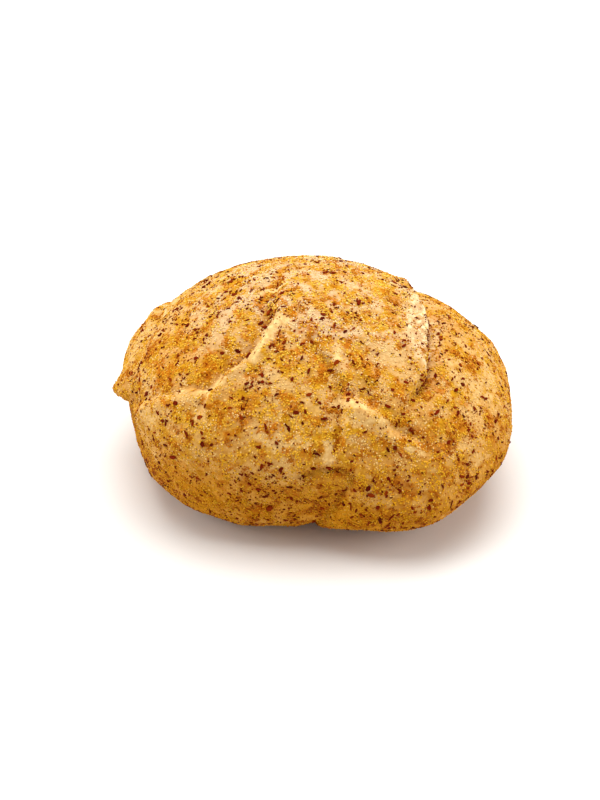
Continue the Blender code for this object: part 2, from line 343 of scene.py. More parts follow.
def trace(one_fold):
    """The fold with the points of its way, their forward and left vectors and the distance along."""
    bearings, elevations = np.array(one_fold["way"], float).T
    aims = unit(smooth_way(directions_of(bearings, elevations), WAY_ANGLE))
    way = smooth_way(dough_form(aims), FOLD_SAMPLE_SPACING)
    forward = unit(np.gradient(way, axis=0))
    centred = way - (0, 0, WAIST_HEIGHT)
    aims = unit(centred / (ROLL_WIDTH / 2, ROLL_DEPTH / 2, ROLL_HEIGHT - WAIST_HEIGHT))
    left = unit(np.cross(outward(dough_form, aims, NORMAL_ANGLE), forward))
    steps = np.linalg.norm(np.diff(way, axis=0), axis=1)
    along = np.concatenate([[0.0], np.cumsum(steps)])
    return one_fold, way, forward, left, along


TRACED_FOLDS = [trace(each) for each in (LEFT_FOLD, RIGHT_FOLD, *LOWER_FOLDS, *BACK_FOLDS)]


def smooth_rise(values):
    """0 below 0, 1 above 1 and an even rise between."""
    held = np.clip(values, 0, 1)
    return held * held * (3 - 2 * held)


def wave(points, wavelength, shift=0.0):
    """Smooth noise from about -1 to 1 at each point, of one wavelength."""
    return np.array([noise.noise(Vector(place)) for place in (points / wavelength + shift).tolist()])


def fold_marks(points):
    """What the folds do at points of the dough form: relief, flank distance, painted fold shade, torn lip."""
    marks = {name: np.zeros(len(points)) for name in ("relief", "hollow", "torn_lip")}
    marks["flank"] = np.ones(len(points))
    stray = sum(reach * wave(points, length) for length, reach in STRAYS)
    for each, way, forward, left, along in TRACED_FOLDS:
        step = each["step"]
        for start in range(0, len(points), POINTS_AT_ONCE):
            rows = slice(start, start + POINTS_AT_ONCE)
            part = points[rows]
            gaps = (part**2).sum(1)[:, None] + (way**2).sum(1)[None] - 2 * part @ way.T
            closest = gaps.argmin(1)
            offset = part - way[closest]
            side = each["side"] * (offset * left[closest]).sum(1) + stray[rows]
            ahead = along[closest] + (offset * forward[closest]).sum(1)
            fade = smooth_rise(ahead / each["fade"][0]) * smooth_rise((along[-1] - ahead) / each["fade"][1])
            low_side = np.exp(-(np.abs(side / each["hollow"]) ** HOLLOW_SHARPNESS))
            lip_side = np.exp(-((side / step) ** 2))
            sunk = np.where(side < 0, low_side, lip_side)
            rounded = np.exp(-(((side - LIP_PLACE * step) / (LIP_BREADTH * step)) ** 2))
            gap = np.sqrt(np.maximum(gaps[np.arange(len(part)), closest], 0))
            breadth = FOLD_BREADTH * max(each["hollow"], LIP_REACH * step)
            reach = fade * smooth_rise(FOLD_EDGE * (1 - gap / breadth))
            marks["relief"][rows] += reach * (each["lip"] * rounded - each["depth"] * sunk)
            flank = np.where(gap < FOLD_BREADTH * step, np.abs(side - step), gap)
            flank += FAR_AWAY * (fade < FAINT_FOLD)
            marks["flank"][rows] = np.minimum(marks["flank"][rows], flank)
            # The painted shade along the bottom of the fold
            valley = np.exp(-((side / (SHADE_BREADTH * each["hollow"])) ** 2)) * (side < SHADE_PAST_LINE)
            near = fade * (gap < SHADE_REACH)
            deep = valley * each["depth"] / RIGHT_FOLD["depth"]
            marks["hollow"][rows] = np.maximum(marks["hollow"][rows], near * deep)
            if each is RIGHT_FOLD:
                wide_lip = np.exp(-(((side - TORN_MIDDLE) / TORN_BREADTH) ** 2))
                marks["torn_lip"][rows] = near * wide_lip
    return marks


# The crust. Pale, thin and soft, because the meal kept it from browning: cream where the folds stretched it
# bare, peach and gold elsewhere, with amber stains where damp meal toasted, and browner on the underside.
CRUST_SUBDIVISIONS = 7
CRUST_FINE_BAND = 0.0028
CRUST_FINE_EDGE = 0.00055
# Where the right fold's lip tore as it rose, and the two strands of skin that still cross the tear
TORN_CENTRE = directions_of(-24, 52)
TORN_SPREAD = 17
TORN_STRANDS = (
    ((5, 55), (-18, 59), (-38.5, 53.5), (-44, 49.5), (-45.5, 45.5), (-46.5, 40.5)),
    ((-2, 54), (-14.5, 53.5), (-19.5, 51.5), (-25.5, 51), (-27.5, 52.5)),
)
STRAND_HALF_WIDTH = 0.0008
STRAND_RISE = 0.0005
# How far the edges of strands and strips waver and over what length, and what sets this noise apart
WAVERS = ((0.0060, 0.0016), (0.0021, 0.0007))
WAVER_SHIFT = 13.0
# Unevenness of the level underside: wavelength and rise
SHEET_WAVE = 0.006
SHEET_RISE = 0.00025


def directions_in(mesh):
    """The directions of a ball's vertices."""
    return unit(np.array([vert.co for vert in mesh.verts]))


crust_ball = bmesh.new()
bmesh.ops.create_icosphere(crust_ball, subdivisions=CRUST_SUBDIVISIONS, radius=1.0)
crust_dough = dough_form(directions_in(crust_ball))
crust_flank = fold_marks(crust_dough)["flank"]
crust_ball.verts.index_update()
along_folds = []
for edge in crust_ball.edges:
    ends = [vert.index for vert in edge.verts]
    long_edge = np.linalg.norm(crust_dough[ends[0]] - crust_dough[ends[1]]) > CRUST_FINE_EDGE
    if long_edge and crust_flank[ends].min() < CRUST_FINE_BAND and crust_dough[ends[0]][2] > 0:
        along_folds.append(edge)
bmesh.ops.subdivide_edges(crust_ball, edges=along_folds, cuts=1, use_grid_fill=True)
bmesh.ops.triangulate(crust_ball, faces=crust_ball.faces[:])

crust_aims = directions_in(crust_ball)
crust_dough = dough_form(crust_aims)
crust_marks = fold_marks(crust_dough)

wavering_dough = crust_dough.copy()
for length, reach in WAVERS:
    for axis in range(3):
        wavering_dough[:, axis] += reach * wave(crust_dough, length, WAVER_SHIFT + axis)


def near_way(way, half_width):
    """1 on a way over the crust, 0 well away from it, with wavering edges."""
    aims = directions_of(*np.array(way, float).T)
    along = smooth_way(dough_form(aims), FOLD_SAMPLE_SPACING)
    found = np.empty(len(crust_dough))
    for start in range(0, len(crust_dough), POINTS_AT_ONCE):
        rows = slice(start, start + POINTS_AT_ONCE)
        part = wavering_dough[rows]
        gaps = (part**2).sum(1)[:, None] + (along**2).sum(1)[None] - 2 * part @ along.T
        found[rows] = np.exp(-gaps.min(1) / half_width**2)
    return found


torn_angle = np.degrees(np.arccos(np.clip(crust_aims @ TORN_CENTRE, -1, 1)))
torn = np.exp(-((torn_angle / TORN_SPREAD) ** 2)) * crust_marks["torn_lip"]
strand = np.maximum(*(near_way(way, STRAND_HALF_WIDTH) for way in TORN_STRANDS))
crust_rise = crust_marks["relief"] + STRAND_RISE * strand
for wavelength, height in SKIN_WAVES:
    crust_rise += height * wave(crust_dough, wavelength)
crust_points = crust_dough + outward(dough_form, crust_aims, NORMAL_ANGLE) * crust_rise[:, None]

# The roll stands in the middle of the solid's box, with what reached below the sheet pressed level
crust_low = crust_points[:, :2].min(axis=0)
crust_high = crust_points[:, :2].max(axis=0)
roll_low, roll_high = (np.array(corner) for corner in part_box("bun"))
to_middle = np.append((roll_low[:2] + roll_high[:2]) / 2 - (crust_low + crust_high) / 2, 0.0)
crust_points += to_middle
underside = crust_points[:, 2] < 0
sheet_relief = roll_low[2] + SHEET_RISE * (1 + wave(crust_points, SHEET_WAVE))
crust_points[:, 2] = np.where(underside, sheet_relief, crust_points[:, 2])
for vert, place in zip(crust_ball.verts, crust_points):
    vert.co = place
bmesh.ops.recalc_face_normals(crust_ball, faces=crust_ball.faces[:])


def new_object(name, mesh):
    """A new object that holds the given bmesh, shaded smooth."""
    data = bpy.data.meshes.new(name)
    mesh.to_mesh(data)
    mesh.free()
    data.polygons.foreach_set("use_smooth", [True] * len(data.polygons))
    made = bpy.data.objects.new(name, data)
    bpy.context.collection.objects.link(made)
    return made


crust = new_object("crust", crust_ball)

# Where the meal lies on the crust. It stuck in patches while the dough was damp, and it came away along the
# lips that stretched as the roll rose.
# Bare strips: way, half width and strength
BARE_STRIPS = (
    (((-117, 67), (-118, 61), (-118, 56)), 0.0027, 0.85),
    (((-118, 56), (-119.5, 50.5)), 0.0021, 0.8),
    (((-122.5, 48.5), (-125, 43), (-126, 39.5), (-126.5, 35.5)), 0.0014, 0.75),
    (((-121, 40), (-124, 36)), 0.0016, 0.6),
    (((-126.5, 35.5), (-130.5, 33.5), (-134.5, 31)), 0.0011, 0.85),
    (((-134.5, 31), (-140.5, 25.5), (-146.5, 19.5)), 0.0013, 0.45),
    (((-126.5, 33), (-127, 28), (-127, 23.5)), 0.0009, 0.7),
    (((-159.5, 73), (-157, 77.5), (-155, 81.5)), 0.0007, 0.9),
    (((-83.5, 34), (-78.5, 33.5), (-75, 30.5), (-71, 27), (-67, 24)), 0.0015, 0.65),
    (((-86.5, 17.5), (-86.5, 9)), 0.0010, 0.9),
    (((-79, 58), (-79.5, 53)), 0.0018, 0.7),
    (((-107, 17), (-101, 14)), 0.0016, 0.4),
    (((-117, 9), (-111, 9)), 0.0016, 0.35),
    (((-75, 8), (-76.5, -12)), 0.0012, 0.45),
    (((-64, 12.5), (-59, 9)), 0.0010, 0.6),
    (((91, 45), (94, 37), (99, 28)), 0.0016, 0.8),
    (((166, 32), (150, 23), (138, 14)), 0.0013, 0.7),
)
# Amber stains: bearing, elevation and spread in degrees
AMBER_STAINS = (
    (-104, 23, 3.6),
    (-114, 27.5, 3.4),
    (-77, 37, 2.6),
    (-70, 33, 2.8),
    (-61.5, 18, 3.2),
    (-57.5, 10.5, 3.6),
    (-112, 58.5, 2.4),
    (-114.5, 40, 3.0),
    (-149.5, 22, 3.4),
    (-134, 41.5, 3.2),
    (-134, 71, 3.6),
    (-156.5, 45.5, 4.6),
    (-167, 27, 4.0),
    (-65.5, 52, 3.2),
    (-74, 49, 3.4),
    (-91, 57, 2.4),
    (-146, 29.5, 4.4),
    (-130, 28, 1.7),
    (-109, 72, 3.0),
    (-152.5, 73.5, 3.4),
    (-73.5, 57.5, 2.6),
    (-25.5, 31.5, 4.0),
    (-32.5, 14, 3.4),
    (-49.5, 15.5, 3.4),
    (-86.5, 25.5, 2.2),
    (-87, -18, 4.0),
    (-39.5, 45, 1.6),
    (-46, 38, 1.8),
    (-53, 32.5, 1.8),
    (-62.5, 22.5, 2.2),
    (-68, -3, 4.0),
    (-53, -3, 3.6),
)
# Painted highlights where the roll catches the light, given the same way: pale, with little but white meal
PAINTED_HIGHLIGHT_SPOTS = (
    (-75, 27, 5.0),
    (-80, 26, 3.6),
    (-141, 12, 6.0),
    (-139, -6, 6.0),
    (175, 14, 6.0),
    (172, 24, 7.0),
    (154, 33, 8.0),
    (150, 50, 8.0),
    (-29, 16, 5.0),
    (-44, 0, 5.0),
    (-16, 38, 4.5),
    (-22, 20, 4.0),
)
# Patches of thick meal and of toasted meal: the share of the crust under them, their size, and what sets their
# noise apart
GOLD_PATCHES = (0.58, 0.0046, 20)
AMBER_PATCHES = (0.24, 0.0032, 40)
# The finer noise within a patch: its share, how many times finer it is, and its shift. Then the soft edge of a
# patch.
FINE_SHARE = 0.5
FINENESS = 2.4
FINE_SHIFT = 5
PATCH_EDGE = 0.22
# What makes bare strips ragged: size, shift and share of that noise
RAGGED_SIZE = 0.0018
RAGGED_SHIFT = 31.0
RAGGEDNESS = 0.34
# Where bareness starts to count, and how far on it is full
BARE_FROM = 0.24
BARE_REACH = 0.45
# How much the painted highlights count as bare, turn away thick meal and turn away toasted meal
PAINTED_HIGHLIGHT_BARENESS = 0.45
PAINTED_HIGHLIGHT_LESS_GOLD = 0.35
PAINTED_HIGHLIGHT_LESS_AMBER = 0.8
# How much stains and thick meal draw toasted meal
STAIN_DRAW = 0.55
GOLD_DRAW = 0.15
# How far the tear keeps all meal off, and how strongly its own colours show
TORN_BARENESS = 0.7
TORN_STRENGTH = 1.2
# Heights of the low flank, where the colour grows darker and deeper, of the paler crown, and of the rim that
# the sheet browned
LOW_FLANK_TOP = 0.037
LOW_FLANK_REACH = 0.025
CROWN_FOOT = 0.043
CROWN_REACH = 0.011
SHEET_BROWN_TOP = 0.004


def patches(share, size, shift, pull=0.0):
    """1 in uneven patches over the given share of the crust and 0 between, drawn to where pull is high."""
    fine = FINE_SHARE * wave(crust_points, size / FINENESS, shift + FINE_SHIFT)
    field = wave(crust_points, size, shift) + fine + pull
    return smooth_rise((field - np.quantile(field, 1 - share)) / PATCH_EDGE + 0.5)


def spots_over_crust(spots):
    """1 in the middle of each spot, fading to 0 around it."""
    found = np.zeros(len(crust_points))
    for bearing, elevation, spread in spots:
        angle = np.degrees(np.arccos(np.clip(crust_aims @ directions_of(bearing, elevation), -1, 1)))
        found = np.maximum(found, np.exp(-((angle / spread) ** 2)))
    return found


# Painted highlights where the roll catches the light
painted_highlight = spots_over_crust(PAINTED_HIGHLIGHT_SPOTS)
stained = spots_over_crust(AMBER_STAINS)
bare = PAINTED_HIGHLIGHT_BARENESS * painted_highlight
for way, half_width, strength in BARE_STRIPS:
    bare = np.maximum(bare, strength * near_way(way, half_width))
ragged = RAGGEDNESS * wave(crust_points, RAGGED_SIZE, RAGGED_SHIFT)
bare = smooth_rise((bare + ragged - BARE_FROM) / BARE_REACH)
covered = 1 - np.clip(bare + TORN_BARENESS * torn + strand, 0, 1)
meal = covered * patches(*GOLD_PATCHES, -PAINTED_HIGHLIGHT_LESS_GOLD * painted_highlight)
amber_pull = STAIN_DRAW * stained + GOLD_DRAW * meal - PAINTED_HIGHLIGHT_LESS_AMBER * painted_highlight
amber = covered * patches(*AMBER_PATCHES, amber_pull)
low_flank = smooth_rise((LOW_FLANK_TOP - crust_points[:, 2]) / LOW_FLANK_REACH)
sheet_rim = smooth_rise((SHEET_BROWN_TOP - crust_points[:, 2]) / SHEET_BROWN_TOP)
marks_on_crust = {
    "crown": smooth_rise((crust_points[:, 2] - CROWN_FOOT) / CROWN_REACH),
    "low_flank": low_flank,
    "meal": meal * (1 - low_flank),
    "flank_meal": meal * low_flank,
    "amber": amber * (1 - low_flank),
    "flank_amber": amber * low_flank,
    # Painted shade along the bottom of each fold
    "hollow": np.clip(crust_marks["hollow"], 0, 1),
    "bare": bare,
    "torn": np.clip(TORN_STRENGTH * torn, 0, 1),
    "strand": strand,
    "underside": np.where(underside, 1.0, sheet_rim),
}
for name, values in marks_on_crust.items():
    crust.data.attributes.new(name, "FLOAT", "POINT").data.foreach_set("value", values.astype(np.float32))


def linear(hex_colour):
    """An sRGB hex colour as the linear RGBA that a shader takes."""
    parts = [int(hex_colour[i : i + 2], 16) / 255 for i in (1, 3, 5)]
    return [p / 12.92 if p <= 0.04045 else ((p + 0.055) / 1.055) ** 2.4 for p in parts] + [1.0]


def new_material(name):
    """A new material with its node tree and its Principled shader."""
    made = bpy.data.materials.new(name)
    made.use_nodes = True
    return made, made.node_tree, made.node_tree.nodes["Principled BSDF"]


def add_node(tree, kind, output, inputs, **settings):
    """Adds a node with its settings, sets or links its inputs, and gives the output asked for."""
    made = tree.nodes.new(kind)
    for name, value in settings.items():
        setattr(made, name, value)
    for socket, value in inputs.items():
        if isinstance(value, bpy.types.NodeSocket):
            tree.links.new(value, made.inputs[socket])
        else:
            made.inputs[socket].default_value = linear(value) if isinstance(value, str) else value
    return made.outputs[output]


# Baked wheat and maize crust: matt, porous and floury, so that it scarcely shines, with fine pits, wrinkles
# and mottling
DOUGH_PALE = "#E4B974"
DOUGH_PEACH = "#D8A052"
DOUGH_CROWN = "#E0C298"
DOUGH_FLANK = "#CE8A12"
DOUGH_BARE = "#F5CF8A"
MEAL_GOLD = "#D29616"
FLANK_GOLD = "#BA7600"
MEAL_AMBER = "#C8740A"
FLANK_AMBER = "#AC5C02"
# Painted shade in the bottom of the folds
PAINTED_FOLD_SHADE = "#8A4E10"
TORN_TAN = "#D6AC80"
FLOUR_CREAM = "#F6DEAE"
SHEET_BROWN = "#A8682C"
MOTTLE_TAN = "#CDAE78"
MOTTLE_WHITE = "#FFFFFF"
MOTTLE_SHARE = 0.55
CRUST_IOR = 1.45
CRUST_SHINE = 0.06
LEAST_ROUGH = 0.62
MOST_ROUGH = 0.86
# Strength and depth of the relief that the pattern of pores and that of wrinkles give
PORE_RELIEF = (0.55, 0.00022)
WRINKLE_RELIEF = (0.5, 0.0006)
# Real size of each pattern, with its detail and roughness
PATTERNS = {
    "tone": (0.0160, 2.0, 0.55),
    "sheet": (0.0090, 3.0, 0.55),
    "tear": (0.0022, 2.0, 0.60),
    "clump": (0.0026, 3.0, 0.60),
    "toasting": (0.0017, 3.0, 0.60),
    "wrinkle": (0.0024, 4.0, 0.60),
    "mottle": (0.0011, 2.0, 0.55),
    "pore": (0.0006, 2.0, 0.55),
}
# What lies over the dough, lowest first: its mark, the pattern that breaks it up with the range used of that,
# the least and the greatest share that shows, and its colour
COATS = (
    ("crown", "tone", 0.40, 0.62, 0.50, 0.85, DOUGH_CROWN),
    ("low_flank", "tone", 0.40, 0.62, 0.70, 1.00, DOUGH_FLANK),
    ("meal", "clump", 0.44, 0.56, 0.45, 0.98, MEAL_GOLD),
    ("flank_meal", "clump", 0.44, 0.56, 0.55, 0.98, FLANK_GOLD),
    ("amber", "toasting", 0.42, 0.56, 0.35, 0.95, MEAL_AMBER),
    ("flank_amber", "toasting", 0.42, 0.56, 0.35, 0.95, FLANK_AMBER),
    # Painted shade in the bottom of the folds
    ("hollow", "mottle", 0.30, 0.60, 0.45, 0.90, PAINTED_FOLD_SHADE),
    ("bare", "mottle", 0.30, 0.60, 0.70, 0.92, DOUGH_BARE),
    ("torn", "mottle", 0.30, 0.60, 0.50, 0.80, TORN_TAN),
    ("torn", "tear", 0.48, 0.58, 0.05, 0.90, FLOUR_CREAM),
    ("strand", "mottle", 0.30, 0.60, 0.75, 0.95, FLOUR_CREAM),
    ("underside", "sheet", 0.35, 0.65, 0.35, 0.95, SHEET_BROWN),
)

crust_material, tree, shader = new_material("baked maize crust")
on_roll = add_node(tree, "ShaderNodeTexCoord", "Object", {})
pattern = {}
for name, (size, detail, roughness) in PATTERNS.items():
    inputs = {"Vector": on_roll, "Scale": 1 / size, "Detail": detail, "Roughness": roughness}
    pattern[name] = add_node(tree, "ShaderNodeTexNoise", 0, inputs)
inputs = {"Value": pattern["tone"], "From Min": 0.40, "From Max": 0.62}
tone = add_node(tree, "ShaderNodeMapRange", 0, inputs)
colour = add_node(tree, "ShaderNodeMix", 2, {0: tone, 6: DOUGH_PALE, 7: DOUGH_PEACH}, data_type="RGBA")
for mark, broken_by, low, high, least, most, coat in COATS:
    inputs = {"Value": pattern[broken_by], "From Min": low, "From Max": high, "To Min": least, "To Max": most}
    share = add_node(tree, "ShaderNodeMapRange", 0, inputs)
    where = add_node(tree, "ShaderNodeAttribute", "Fac", {}, attribute_name=mark)
    amount = add_node(tree, "ShaderNodeMath", 0, {0: share, 1: where}, operation="MULTIPLY")
    colour = add_node(tree, "ShaderNodeMix", 2, {0: amount, 6: colour, 7: coat}, data_type="RGBA")
inputs = {"Value": pattern["mottle"], "From Min": 0.32, "From Max": 0.68}
fleck = add_node(tree, "ShaderNodeMapRange", 0, inputs)
shade = add_node(tree, "ShaderNodeMix", 2, {0: fleck, 6: MOTTLE_TAN, 7: MOTTLE_WHITE}, data_type="RGBA")
inputs = {0: MOTTLE_SHARE, 6: colour, 7: shade}
colour = add_node(tree, "ShaderNodeMix", 2, inputs, data_type="RGBA", blend_type="MULTIPLY")
inputs = {"Value": pattern["mottle"], "From Min": 0.3, "From Max": 0.7}
inputs.update({"To Min": LEAST_ROUGH, "To Max": MOST_ROUGH})
dullness = add_node(tree, "ShaderNodeMapRange", 0, inputs)
inputs = {"Strength": PORE_RELIEF[0], "Distance": PORE_RELIEF[1], "Height": pattern["pore"]}
pores = add_node(tree, "ShaderNodeBump", 0, inputs)
inputs = {"Strength": WRINKLE_RELIEF[0], "Distance": WRINKLE_RELIEF[1], "Height": pattern["wrinkle"]}
wrinkles = add_node(tree, "ShaderNodeBump", 0, {**inputs, "Normal": pores})
tree.links.new(colour, shader.inputs["Base Color"])
tree.links.new(dullness, shader.inputs["Roughness"])
tree.links.new(wrinkles, shader.inputs["Normal"])
shader.inputs["IOR"].default_value = CRUST_IOR
shader.inputs["Specular IOR Level"].default_value = CRUST_SHINE
crust.data.materials.append(crust_material)
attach(crust, "root")
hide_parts("bun")

# Maize meal. Broken kernels, horny yellow and floury white, sifted to about half a millimetre, which the damp
# dough was rolled in before its last rise. Some toasted to amber in the oven.
MEAL_COUNT = 23500
MEAL_RADII = (0.00019, 0.00034)
WHITE_MEAL_RADII = (0.00015, 0.00028)
# Each kind has a few shapes, broken unevenly by these shares of the reach, and each grain is stretched by the
# least to the most along, across and upwards
GRAIN_SHAPES = 6
BREAKAGE = (0.75, 1.2)
LEAST_STRETCH = (0.95, 0.8, 0.55)
MOST_STRETCH = (1.4, 1.1, 0.85)
# How far a grain's middle stands off the crust, as a share of its radius
GRAIN_LIFT = 0.15
# Scattering: tries for each place that is kept, the share that falls outside clumps, the noise from which a
# clump starts, how soft its edge is, and what sets this noise apart
TRIES = 3
STRAY_SHARE = 0.2
CLUMP_FROM = -0.12
CLUMP_EDGE = 0.4
CLUMP_SHIFT = 7.0
# Depth of colour on the crown, what it gains below that and on the low flank, and what is left to chance
CROWN_TONE = 0.04
BELOW_CROWN_TONE = 0.22
FLANK_TONE = 0.30
CHANCE_TONE = 0.30
FLANK_CHANCE_TONE = 0.14
# How much of the toppings holds on the underside
UNDERSIDE_HOLD = 0.25
# How thickly yellow and amber meal lie everywhere, and what gold and amber patches add to that
YELLOW_EVERYWHERE = 0.35
YELLOW_IN_GOLD = 0.9
AMBER_EVERYWHERE = 0.14
AMBER_IN_AMBER = 1.5
AMBER_IN_GOLD = 0.15
# How thickly white meal lies between the patches, what the patches take from that, and the share left on bare
# dough
WHITE_BETWEEN = 1.1
WHITE_LESS_IN_GOLD = 0.65
WHITE_LESS_IN_AMBER = 0.35
WHITE_ON_BARE = 0.35


def triangles_of(surface):
    """The surface's triangles: corner numbers, corner places and corner normals."""
    data = surface.data
    data.calc_loop_triangles()
    corners = np.empty(len(data.loop_triangles) * 3, np.int32)
    data.loop_triangles.foreach_get("vertices", corners)
    places = np.empty(len(data.vertices) * 3, np.float32)
    data.vertices.foreach_get("co", places)
    normals = np.empty(len(data.vertices) * 3, np.float32)
    data.vertices.foreach_get("normal", normals)
    return corners.reshape(-1, 3), places.reshape(-1, 3).astype(float), normals.reshape(-1, 3).astype(float)


crust_corners, crust_places, crust_normals = triangles_of(crust)


def scattered(density, count, draw, clump_size):
    """Places on the crust, as dense as the value at its vertices, with normals and depths in a clump."""
    tries = TRIES * count
    corner_places = crust_places[crust_corners]
    across = np.cross(corner_places[:, 1] - corner_places[:, 0], corner_places[:, 2] - corner_places[:, 0])
    weight = np.cumsum(np.linalg.norm(across, axis=1) * density[crust_corners].mean(1))
    chosen = np.searchsorted(weight, draw.random(tries) * weight[-1])
    share = np.sqrt(draw.random((tries, 1)))
    along = draw.random((tries, 1))
    mix = np.hstack([1 - share, share * (1 - along), share * along])[:, :, None]
    places = (corner_places[chosen] * mix).sum(1)
    ups = unit((crust_normals[crust_corners[chosen]] * mix).sum(1))
    clump = smooth_rise((wave(places, clump_size, CLUMP_SHIFT) - CLUMP_FROM) / CLUMP_EDGE)
    kept = np.flatnonzero(draw.random(tries) < STRAY_SHARE + (1 - STRAY_SHARE) * clump)[:count]
    return places[kept], ups[kept], clump[kept]


def tone_of(places, draw):
    """0 to 1: how deep the colour of a grain is, which grows from the crown down to the low flank."""
    crown = smooth_rise((places[:, 2] - CROWN_FOOT) / CROWN_REACH)
    flank = smooth_rise((LOW_FLANK_TOP - places[:, 2]) / LOW_FLANK_REACH)
    even = CROWN_TONE + BELOW_CROWN_TONE * (1 - crown) + FLANK_TONE * flank
    return even + (CHANCE_TONE + FLANK_CHANCE_TONE * flank) * draw.random(len(places))


def headings(ups, angles):
    """Unit vectors square to ups that head the given angles round from the level one."""
    level = unit(np.cross((0.0, 0.0, 1.0), ups + (1e-6, 0, 0)))
    rising = np.cross(ups, level)
    return level * np.cos(angles)[:, None] + rising * np.sin(angles)[:, None]


def joined_copies(name, shapes, places, ups, angles, sizes, tints, smooth):
    """One piece of many copies: the shapes in turn, with each one's place, normal, heading, size and tint."""
    points = np.array([[vert.co for vert in shape.verts] for shape in shapes])
    faces = np.array([[vert.index for vert in face.verts] for face in shapes[0].faces])
    # The copies are set out as arrays, because an operator would turn and place these thousands one by one
    ahead = headings(ups, angles)
    axes = np.stack([ahead, np.cross(ups, ahead), ups], axis=1)
    local = points[np.arange(len(places)) % len(shapes)] * sizes[:, None, :]
    world = np.einsum("nvk,nkc->nvc", local, axes) + places[:, None, :]
    # What lies under the roll is pressed level with the sheet
    world[:, :, 2] = np.maximum(world[:, :, 2], roll_low[2])
    count, corners = world.shape[:2]
    loops = (faces[None] + (np.arange(count) * corners)[:, None, None]).reshape(-1, faces.shape[1])
    data = bpy.data.meshes.new(name)
    data.from_pydata(world.reshape(-1, 3), [], loops)
    data.polygons.foreach_set("use_smooth", np.full(len(loops), smooth))
    tint = data.attributes.new("tint", "FLOAT", "POINT")
    tint.data.foreach_set("value", np.repeat(tints, corners).astype(np.float32))
    data.update()
    made = bpy.data.objects.new(name, data)
    bpy.context.collection.objects.link(made)
    for shape in shapes:
        shape.free()
    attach(made, "root")
    return made


def tinted_material(name, colours, roughness, ior, shine):
    """A material whose colour goes through the given ones with each small piece's own tint."""
    made, own_tree, own_shader = new_material(name)
    tint = add_node(own_tree, "ShaderNodeAttribute", "Fac", {}, attribute_name="tint")
    ramp = add_node(own_tree, "ShaderNodeValToRGB", "Color", {"Fac": tint})
    stops = ramp.node.color_ramp.elements
    for index in range(len(colours) - 2):
        stops.new((index + 1) / (len(colours) - 1))
    for stop, colour in zip(stops, colours):
        stop.color = linear(colour)
    own_tree.links.new(ramp, own_shader.inputs["Base Color"])
    own_shader.inputs["Roughness"].default_value = roughness
    own_shader.inputs["IOR"].default_value = ior
    own_shader.inputs["Specular IOR Level"].default_value = shine
    return made


def broken_grain(draw):
    """A small broken kernel: eight uneven faces round two blunt ends."""
    shape = bmesh.new()
    bmesh.ops.create_uvsphere(shape, u_segments=4, v_segments=2, radius=1.0)
    for vert in shape.verts:
        vert.co *= draw.uniform(*BREAKAGE)
    bmesh.ops.recalc_face_normals(shape, faces=shape.faces[:])
    shape.verts.index_update()
    return shape


def sprinkle(name, density, material, seed, radii, clump, toasting):
    """Scatters one kind of grain over the crust, pressed about halfway in. Its clumps toast deepest."""
    draw = np.random.default_rng(seed)
    own_shapes = random.Random(seed)
    places, ups, in_clump = scattered(density, MEAL_COUNT, draw, clump)
    radius = radii[0] * (radii[1] / radii[0]) ** draw.random(MEAL_COUNT)
    stretch = draw.uniform(LEAST_STRETCH, MOST_STRETCH, (MEAL_COUNT, 3))
    made = joined_copies(
        name,
        [broken_grain(own_shapes) for _ in range(GRAIN_SHAPES)],
        places + ups * (radius * GRAIN_LIFT)[:, None],
        ups,
        draw.uniform(0, 2 * math.pi, MEAL_COUNT),
        radius[:, None] * stretch,
        (1 - toasting) * tone_of(places, draw) + toasting * in_clump,
        smooth=True,
    )
    made.data.materials.append(material)


# Horny maize is glassy and golden, floury maize chalky, and toasted meal between them. Each kind's colours go
# from its palest grain to its deepest.
YELLOWS = ("#F4CC58", "#E8B434", "#DA9C12", "#C88604")
AMBERS = ("#E4A434", "#D68E18", "#BC6E08", "#944404")
WHITES = ("#FCE8C0", "#F0CB84", "#E1A522", "#C88402")
MAIZE_IOR = 1.53
MAIZE_SHINE = 0.08
yellow_maize = tinted_material("horny yellow maize", YELLOWS, 0.55, MAIZE_IOR, MAIZE_SHINE)
amber_maize = tinted_material("toasted amber maize", AMBERS, 0.6, MAIZE_IOR, MAIZE_SHINE)
white_maize = tinted_material("floury white maize", WHITES, 0.7, MAIZE_IOR, MAIZE_SHINE)

# Some of each kind lies everywhere, and more of it in its own patches. White meal is what shows between them.
on_top = np.where(underside, UNDERSIDE_HOLD, 1.0)
yellow_share = on_top * covered * (YELLOW_EVERYWHERE + YELLOW_IN_GOLD * meal)
amber_share = on_top * covered * (AMBER_EVERYWHERE + AMBER_IN_AMBER * amber + AMBER_IN_GOLD * meal)
white_share = on_top * (WHITE_ON_BARE + (1 - WHITE_ON_BARE) * covered)
white_share *= WHITE_BETWEEN - WHITE_LESS_IN_GOLD * meal - WHITE_LESS_IN_AMBER * amber
sprinkle("yellow_meal", yellow_share, yellow_maize, seed=21, radii=MEAL_RADII, clump=0.0024, toasting=0.0)
sprinkle("amber_meal", amber_share, amber_maize, seed=31, radii=MEAL_RADII, clump=0.0016, toasting=0.5)
sprinkle("white_meal", white_share, white_maize, seed=41, radii=WHITE_MEAL_RADII, clump=0.0030, toasting=0.0)

# Bran. Thin brown scales of wheat husk, from dust to flakes of two or three millimetres, which stuck to the
# damp dough with the meal and curled a little in the heat. The largest are where the solid has them.
FLAKE_SEED = 11
FLAKE_CORNERS = 6
FLAKE_PROUD = 0.00040
FLAKE_EMBEDDED = 0.00035
FLAKE_TAPER = 0.86
FLAKE_NORMAL_ANGLE = 0.02
FLAKE_CLEARANCE = 0.0056
